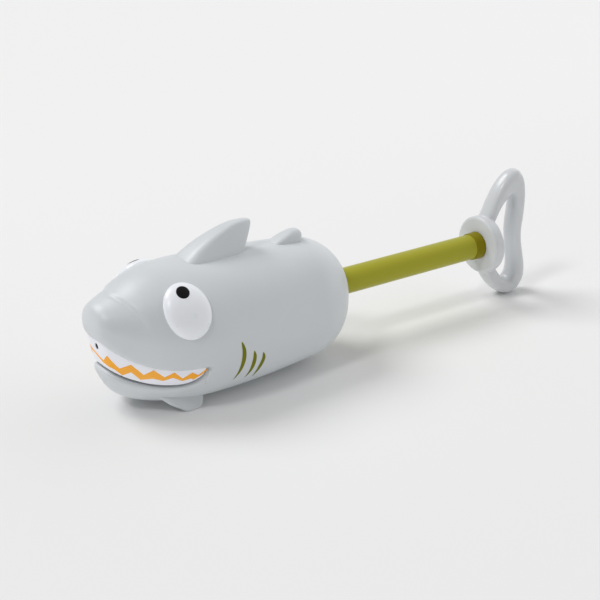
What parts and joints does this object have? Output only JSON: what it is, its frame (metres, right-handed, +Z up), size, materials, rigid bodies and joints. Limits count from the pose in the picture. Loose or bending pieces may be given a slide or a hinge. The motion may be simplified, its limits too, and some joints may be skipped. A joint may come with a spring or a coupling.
{
  "type": "water squirter",
  "caption": "Shark-shaped hand-pump water squirter: a hollow soft body over a pump barrel, with a pull-out plunger rod and a tail-fin loop handle.",
  "frame": {"origin": "middle of the box round the part at its base, with the plunger pulled out", "axes": "+X along the pump axis from the nose to the handle, +Z up, +Y to the shark's right side"},
  "size_m": [0.3158, 0.0798, 0.093],
  "materials": {
    "grey_vinyl": "soft matt vinyl",
    "grey_cap": "satin moulded plastic",
    "grey_handle": "satin moulded plastic",
    "tooth_white": "satin, with a painted zigzag",
    "eye_white": "satin moulded plastic",
    "pupil_black": "gloss",
    "rod_green": "smooth extruded tube",
    "collar_green": "satin",
    "pump_white": "as moulded",
    "nozzle_black": "as moulded",
    "seal_rubber": "matt rubber",
    "screw_steel": "bare steel"
  },
  "bodies": {
    "body": {"body_shell": "grey_vinyl", "tooth_band": "tooth_white", "left_eye": "eye_white", "left_pupil": "pupil_black", "right_eye": "eye_white", "right_pupil": "pupil_black", "pump_barrel": "pump_white", "barrel_front_cap": "pump_white", "front_cap_o_ring": "seal_rubber", "nozzle_tip": "nozzle_black", "rear_cap": "grey_cap", "rod_wiper": "seal_rubber"},
    "seal": {"piston_o_ring": "seal_rubber"},
    "plunger": {"piston_head": "pump_white", "piston_washer": "screw_steel", "piston_screw": "screw_steel", "plunger_rod": "rod_green", "rod_plug": "pump_white", "rod_collar": "collar_green", "handle": "grey_handle"}
  },
  "joints": [
    {"name": "plunger_slide", "type": "slide", "parent": "body", "child": "seal", "axis": [1, 0, 0], "range_m": [-0.1035, 0]},
    {"name": "plunger_turn", "type": "hinge", "parent": "seal", "child": "plunger", "pos_m": [0, 0, 0.0386], "axis": [1, 0, 0], "continuous": true}
  ]
}
